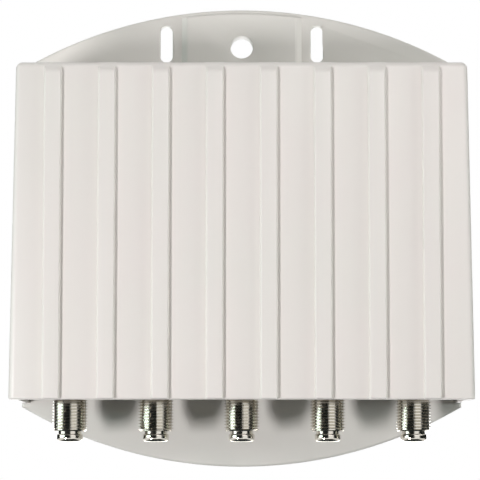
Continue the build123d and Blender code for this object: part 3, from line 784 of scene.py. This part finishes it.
def model_thread(low, high):
    """Helical ridge of the thread, a little sunk into its core, cut to the barrel's chamfered end."""
    buried = thread_radius - thread_foot_depth
    slice_depth = mm / 10
    foot_half = (thread_pitch - thread_root) / 2
    crest_half = thread_crest / 2
    turns = int((high - low) / thread_pitch) + 2
    start = low - thread_pitch
    ridge = add_block("thread", (buried, -slice_depth, start), (thread_radius, 0, start + 2 * foot_half))
    edit_faces(ridge, lambda centre, normal: normal.x > facing)
    bpy.ops.transform.resize(value=(1, 1, crest_half / foot_half))
    edit_faces(ridge, lambda centre, normal: normal.y < facing)
    bpy.ops.mesh.delete(type="FACE")
    leave_edit()
    modifier = ridge.modifiers.new("wind", "SCREW")
    modifier.axis = "Z"
    modifier.angle = 2 * pi
    modifier.screw_offset = thread_pitch
    modifier.iterations = turns
    modifier.steps = thread_steps
    modifier.render_steps = thread_steps
    pick(ridge)
    bpy.ops.object.modifier_apply(modifier=modifier.name)
    edit_all(ridge)
    bpy.ops.mesh.remove_doubles(threshold=merge_gap)
    bpy.ops.mesh.fill_holes(sides=4)
    bpy.ops.mesh.normals_make_consistent(inside=False)
    leave_edit()
    envelope = turn_profile("envelope", [
        (neck_radius, high + mm / 2),
        (thread_radius, high + mm / 2),
        (thread_radius, low + barrel_end_chamfer),
        (thread_radius - barrel_end_chamfer, low),
        (neck_radius, low),
    ])
    combine(ridge, [envelope], "INTERSECT")
    return ridge


def model_socket():
    """Socket at the middle of the plan: shank, collar, threaded barrel, neck, rounded nose and bore."""
    collar_foot = case_foot - collar_height
    barrel_foot = collar_foot - thread_length - barrel_end_chamfer
    nose_top = barrel_foot - neck_length
    nose_foot = socket_low.z
    root = thread_radius - thread_depth
    root_chamfer = barrel_end_chamfer / 3
    steps = [(bore_radius, socket_high.z), (shank_radius, socket_high.z), (shank_radius, collar_foot + mm)]
    steps += [(root, collar_foot + mm), (root, barrel_foot + root_chamfer)]
    steps += [(root - root_chamfer, barrel_foot), (neck_radius, barrel_foot), (neck_radius, nose_top)]
    steps += arc_steps(nose_radius - nose_top_round, nose_top - nose_top_round, nose_top_round,
                       pi / 2, 0, nose_top_segments)
    steps += arc_steps(nose_radius - nose_round, nose_foot + nose_round, nose_round,
                       0, -pi / 2, nose_segments)
    steps += [(mouth_radius, nose_foot), (mouth_radius, nose_foot + nose_lip)]
    steps += [(bore_radius, nose_foot + nose_lip)]
    body = turn_profile("socket", steps)
    collar_middle = (0, 0, case_foot - collar_height / 2)
    collar_corner_radius = collar_across_flats / sqrt(3)
    collar = add_round("collar", collar_middle, collar_corner_radius, collar_height, sides=6)
    round_collar = turn_profile("collar_limit", [
        (neck_radius, case_foot),
        (collar_turned_radius, case_foot),
        (collar_turned_radius, collar_foot + collar_bevel),
        (collar_turned_radius - 2 * collar_bevel, collar_foot),
        (neck_radius, collar_foot),
    ])
    combine(collar, [round_collar], "INTERSECT")
    combine(body, [collar, model_thread(barrel_foot, collar_foot)], "UNION")
    return body


def plate_slab(name, inset, back, front, corner):
    """Plate's outline between two depths: straight sides, and a flat arc at the top and at the foot."""
    half = plate_high.x - inset
    top = plate_high.z - inset
    foot = plate_low.z + inset
    radius = plate_arc_radius - inset
    slab = add_block(name, (-half, -front, foot - mm), (half, -back, top + mm))
    for centre in (top - radius, foot + radius):
        disc = add_round("arc", (0, -(front + back) / 2, centre), radius, front - back + 2 * mm, "Y",
                         plate_arc_sides)
        combine(slab, [disc], "INTERSECT")
    edit_edges(slab, lambda a, b: abs(a.y - b.y) > (front - back) / 2 and abs(a.x) > half - pick_gap)
    round_edges(corner, corner_segments)
    leave_edit()
    return slab


def slot_bar(name, back, front):
    """Right-hand strap slot as a solid bar with round ends."""
    middle = (front + back) / 2
    straight = slot_length - slot_width
    low_end = slot_above_hole - straight / 2
    bar = add_round(name, (slot_spacing / 2, -middle, low_end), slot_width / 2, front - back, "Y")
    edit_points(bar, lambda place: place.z > low_end)
    bpy.ops.transform.translate(value=(0, 0, straight))
    leave_edit()
    return bar


def hole_bar(name, x, z, radius, back, front):
    """Round bar between two depths."""
    return add_round(name, (x, -(front + back) / 2, z), radius, front - back, "Y")


def depth_block(name, left, right, low, high, back, front):
    """Box between two sides, two heights and two depths in front of the wall."""
    return add_block(name, (left, -front, low), (right, -back, high))


def model_back_ribs():
    """Ribs on the plate's wall side, with a collar round its hole."""
    floor_depth = plate_depth - plate_skin
    half_rib = plate_rib_width / 2
    mast_rib = depth_block("mast_rib", mast_rib_spacing / 2 - half_rib, mast_rib_spacing / 2 + half_rib,
                           plate_low.z, plate_high.z, 0, floor_depth + half_rib)
    others = [mirrored(mast_rib, "other_mast_rib")]
    for i in range(1, cross_rib_count + 1):
        height = plate_low.z + i * cross_rib_pitch
        others.append(depth_block(f"cross_rib_{i}", -plate_high.x, plate_high.x, height - half_rib,
                                  height + half_rib, 0, floor_depth + half_rib))
    others.append(hole_bar("hole_collar", 0, 0, hole_boss_radius, 0, floor_depth + half_rib))
    combine(mast_rib, others, "UNION")
    combine(mast_rib, [plate_slab("limit", skirt_wall / 2, -mm, plate_depth, mm)], "INTERSECT")
    return mast_rib


def model_rail():
    """Right-hand rail: a web with an outward flange that holds the cover's lip to the plate."""
    web_half = lip_inner_half - rail_slide_gap
    slot_front = -cover_rear + lip_thickness + rail_slide_gap
    front = slot_front + rail_flange_thickness
    low = cover_foot + rail_foot_gap
    high = case_high.z + rail_past_lug
    rail = depth_block("rail", web_half - rail_web, web_half, low, high, plate_depth - plate_skin / 2, front)
    flange = depth_block("flange", web_half - rail_web / 2, web_half + rail_flange_reach,
                         low, high, slot_front, front)
    combine(rail, [flange], "UNION")
    soften(rail, fine_edge_round)
    return rail


def model_hook():
    """Right-hand hook that carries the tab at the foot of the case."""
    middle = socket_pitch / 2
    left, right = middle - hook_width / 2, middle + hook_width / 2
    case_back = -case_high.y
    tab_foot = case_low.z
    arm_foot = tab_foot - hook_gap - hook_wall
    lip_back = case_back + lug_thickness + hook_gap
    root = plate_depth - plate_skin / 2
    hook = depth_block("hook", left, right, arm_foot, tab_foot - hook_gap, root, lip_back + hook_wall)
    lip = depth_block("hook_lip", left, right, arm_foot, tab_foot + hook_overlap,
                      lip_back, lip_back + hook_wall)
    stand = depth_block("stand", left, right, arm_foot, case_foot + hook_width, root, case_back)
    combine(hook, [lip, stand], "UNION")
    soften(hook, fine_edge_round)
    return hook


def model_bridge():
    """Raised strap bridge with round shoulders, which ends just inside the plate's upper rim."""
    bridge = bridge_block("bridge", 0, -bridge_below_hole, plate_high.z)
    front = plate_depth + bridge_height
    limit = plate_slab("limit", bridge_inside_rim, -mm, front + mm, plate_corner_round)
    combine(bridge, [limit], "INTERSECT")
    edit_edges(bridge, lambda a, b: max(a.y, b.y) < -front + pick_gap)
    round_edges(bridge_edge_round, edge_segments)
    leave_edit()
    return bridge


def round_mouths(plate):
    """Rounds the front rims of the hole and the two slots."""
    def on_mouth(place):
        """Whether a point lies on the front rim of the hole or of a slot."""
        on_bridge = abs(place.y - plate_front + bridge_height) < pick_gap
        in_hole = Vector((place.x, 0, place.z)).length < hole_radius + wide_pick_gap
        on_plate = abs(place.y - plate_front) < pick_gap
        beside_slot = abs(abs(place.x) - slot_spacing / 2) < slot_width / 2 + wide_pick_gap
        by_slot = beside_slot and abs(place.z - slot_above_hole) < slot_length / 2 + wide_pick_gap
        return (on_bridge and in_hole) or (on_plate and by_slot)
    edit_edges(plate, lambda a, b: on_mouth(a) and on_mouth(b))
    round_edges(mouth_round, rim_segments)
    leave_edit()


def model_plate():
    """Back plate with its skirt, back ribs, strap bridge, rails, bosses and hooks."""
    plate = plate_slab("plate_moulding", 0, 0, plate_depth, plate_corner_round)
    edit_edges(plate, lambda a, b: max(a.y, b.y) < plate_front + pick_gap)
    round_edges(plate_edge_round, wide_edge_segments)
    merge_close(plate)
    combine(plate, [plate_slab("pocket", skirt_wall, -mm, plate_depth - plate_skin, mm)], "DIFFERENCE")
    combine(plate, [model_back_ribs(), model_bridge()], "UNION")
    rail = model_rail()
    hook = model_hook()
    boss_height = case_high.z - lug_end_radius
    boss_x = lug_spacing / 2
    boss_front = -case_high.y
    boss = hole_bar("boss", boss_x, boss_height, boss_radius, plate_depth - plate_skin / 2, boss_front)
    soften(boss, fine_edge_round)
    for part in (rail, hook, boss):
        combine(plate, [mirrored(part, "other_" + part.name), part], "UNION")
    reach = plate_depth + 2 * bridge_height
    slot = slot_bar("slot", -mm, reach)
    pilot = hole_bar("pilot", boss_x, boss_height, pilot_radius, boss_front - pilot_depth, boss_front + mm)
    hole = hole_bar("hole", 0, 0, hole_radius, -mm, reach)
    combine(plate, [mirrored(slot, "other_slot"), slot], "DIFFERENCE")
    combine(plate, [mirrored(pilot, "other_pilot"), pilot, hole], "DIFFERENCE")
    round_mouths(plate)
    smooth(plate)
    return plate


cover = model_cover()
place_piece(cover, "weather_cover", "cover", "cover_plastic")

plate = model_plate()
place_piece(plate, "back_plate", "plate", "plate_plastic")

socket = model_socket()
for number, (place, turn) in enumerate(zip(socket_places, socket_turns), start=1):
    body = copied(socket, f"threaded_socket_{number}", (place.x, place.y, 0), radians(turn))
    smooth(body)
    place_piece(body, f"socket_body_{number}", "plate", "socket_nickel")
bpy.data.objects.remove(socket)


def make_camera():
    """Camera of the photograph: a little below the sockets, aimed near the middle of the cover."""
    aim = Vector((0, socket_places[0].y, camera_aim_height))
    back = Vector((0, -cos(camera_elevation), sin(camera_elevation)))
    data = bpy.data.cameras.new("camera")
    data.sensor_width = sensor_width
    data.lens = sensor_width * focal_pixels / photo_width
    data.shift_x = -(centre_line_pixel - photo_width / 2) / photo_width
    camera = bpy.data.objects.new("camera", data)
    bpy.context.scene.collection.objects.link(camera)
    camera.location = aim + back * camera_distance
    camera.rotation_mode = "QUATERNION"
    camera.rotation_quaternion = (-back).to_track_quat("-Z", "Y")
    bpy.context.scene.camera = camera


make_camera()


def toward(azimuth, elevation):
    """Direction from the object: azimuth to the left of the front and elevation, in degrees."""
    left, up = radians(azimuth), radians(elevation)
    return Vector((-sin(left) * cos(up), -cos(left) * cos(up), sin(up)))


def make_lamp(name, azimuth, elevation, distance, width, height, level, colour=(1, 1, 1), glossy=True):
    """Area lamp that lights a surface facing it at the middle of the cover to a level, where 1 is white."""
    data = bpy.data.lights.new(name, "AREA")
    data.shape = "RECTANGLE"
    data.size = width
    data.size_y = height
    data.energy = level * (pi * distance) ** 2
    data.color = colour
    lamp = bpy.data.objects.new(name, data)
    bpy.context.scene.collection.objects.link(lamp)
    direction = toward(azimuth, elevation)
    lamp.location = studio_middle + direction * distance
    lamp.rotation_mode = "QUATERNION"
    lamp.rotation_quaternion = direction.to_track_quat("Z", "Y")
    lamp.visible_glossy = glossy


def seen_by_eye(tree):
    """1 for what the camera, gloss and glass see, 0 for light that spreads."""
    path = add_node(tree, "ShaderNodeLightPath")
    some = add_node(tree, "ShaderNodeMath", settings={"operation": "MAXIMUM"})
    tree.links.new(path.outputs["Is Camera Ray"], some.inputs[0])
    tree.links.new(path.outputs["Is Glossy Ray"], some.inputs[1])
    either = add_node(tree, "ShaderNodeMath", settings={"operation": "MAXIMUM"})
    tree.links.new(some.outputs[0], either.inputs[0])
    tree.links.new(path.outputs["Is Transmission Ray"], either.inputs[1])
    return either.outputs[0]


def make_world():
    """White for what the camera, gloss and glass see, and a faint even light for the rest."""
    world = bpy.data.worlds.new("studio")
    world.use_nodes = True
    tree = world.node_tree
    tree.nodes.clear()
    output = add_node(tree, "ShaderNodeOutputWorld")
    seen = add_node(tree, "ShaderNodeBackground", {"Color": (1, 1, 1, 1), "Strength": 1.0})
    fill = add_node(tree, "ShaderNodeBackground", {"Color": (*fill_colour, 1), "Strength": fill_level})
    mix = add_node(tree, "ShaderNodeMixShader")
    tree.links.new(seen_by_eye(tree), mix.inputs["Fac"])
    tree.links.new(fill.outputs[0], mix.inputs[1])
    tree.links.new(seen.outputs[0], mix.inputs[2])
    tree.links.new(mix.outputs[0], output.inputs["Surface"])
    bpy.context.scene.world = world


def stage_material(name, colour, glow):
    """Matt finish that throws little light, with a glow that only the camera, gloss and glass see."""
    material = bpy.data.materials.new(name)
    material.use_nodes = True
    tree = material.node_tree
    shader = tree.nodes["Principled BSDF"]
    shader.inputs["Roughness"].default_value = stage_roughness
    shader.inputs["Base Color"].default_value = colour
    shader.inputs["Emission Strength"].default_value = 1.0
    blend = add_node(tree, "ShaderNodeMix", settings={"data_type": "RGBA"})
    blend.inputs[colour_a].default_value = (0, 0, 0, 1)
    blend.inputs[colour_b].default_value = glow
    tree.links.new(seen_by_eye(tree), blend.inputs["Factor"])
    tree.links.new(blend.outputs[colour_mixed], shader.inputs["Emission Color"])
    return material


def make_floor():
    """Pale floor well below the camera. It throws little light up, so that the shadows stay dark."""
    deselect_all()
    bpy.ops.mesh.primitive_plane_add(size=floor_size, location=(0, 0, floor_height))
    floor = bpy.context.object
    floor.name = "studio_floor"
    settle(floor)
    floor.data.materials.append(stage_material("studio_floor", floor_colour, floor_glow))


def make_flag(name, azimuth, elevation, distance, span, height):
    """Dark board that only gloss sees, as wide as a span of degrees, for the dark bands in the metal."""
    deselect_all()
    direction = toward(azimuth, elevation)
    turn = direction.to_track_quat("Z", "Y").to_euler()
    place = studio_middle + direction * distance
    bpy.ops.mesh.primitive_plane_add(size=1, location=place, rotation=turn)
    flag = bpy.context.object
    flag.name = name
    flag.scale = (2 * distance * tan(radians(span / 2)), height, 1)
    settle(flag)
    flag.data.materials.append(flag_black)
    flag.visible_camera = False
    flag.visible_diffuse = False
    flag.visible_transmission = False
    flag.visible_shadow = False


# Studio: a pale floor, dark boards that only gloss sees, and soft lamps, with angles in degrees
studio_middle = Vector((0, cover_front, camera_aim_height))
floor_size = 2.4
floor_height = -0.6
floor_colour = (0.12, 0.12, 0.12, 1)
floor_glow = (0.72, 0.72, 0.71, 1)
flag_colour = (0.015, 0.02, 0.018, 1)
no_glow = (0, 0, 0, 1)
stage_roughness = 0.9
flag_distance = 1.3
flag_rise = 5
flag_height = 0.75
# Azimuth and width of each upright board
flag_spans = {"front_left": (22, 60), "right": (-80, 50), "right_rear": (-140, 70), "left_rear": (138, 80)}
fill_level = 0.01
fill_colour = (0.75, 1.0, 0.92)
cool = (0.85, 1.0, 0.96)

make_floor()
flag_black = stage_material("flag_black", flag_colour, no_glow)
for side, (azimuth, span) in flag_spans.items():
    make_flag("flag_" + side, azimuth, flag_rise, flag_distance, span, flag_height)
make_flag("flag_below", azimuth=0, elevation=-80, distance=0.42, span=95, height=0.9)
make_world()
make_lamp("key", azimuth=39, elevation=-17, distance=1.0, width=0.13, height=0.24, level=0.74,
          colour=(1.0, 0.975, 0.99))
make_lamp("front_box", azimuth=-27, elevation=24, distance=0.9, width=0.6, height=0.3, level=0.34,
          colour=(1.0, 0.94, 0.945))
make_lamp("left_box", azimuth=72, elevation=3, distance=0.8, width=0.6, height=0.12, level=0.18,
          colour=(0.75, 1.0, 0.95))
make_lamp("right_box", azimuth=-72, elevation=18, distance=0.8, width=0.3, height=0.06, level=0.08)
make_lamp("right_level_box", azimuth=-74, elevation=0, distance=0.8, width=0.3, height=0.1, level=0.3,
          colour=(0.92, 1.0, 0.98), glossy=False)
make_lamp("left_low_box", azimuth=82, elevation=-8, distance=0.8, width=0.2, height=0.1, level=0.03,
          colour=cool, glossy=False)
make_lamp("right_low_box", azimuth=-82, elevation=-7, distance=0.8, width=0.2, height=0.1, level=0.05,
          colour=cool, glossy=False)
make_lamp("top_box", azimuth=180, elevation=78, distance=0.8, width=0.6, height=0.4, level=0.22)
make_lamp("back_box", azimuth=180, elevation=-15, distance=0.6, width=0.5, height=0.5, level=0.7)
bpy.context.scene.view_settings.view_transform = "Standard"
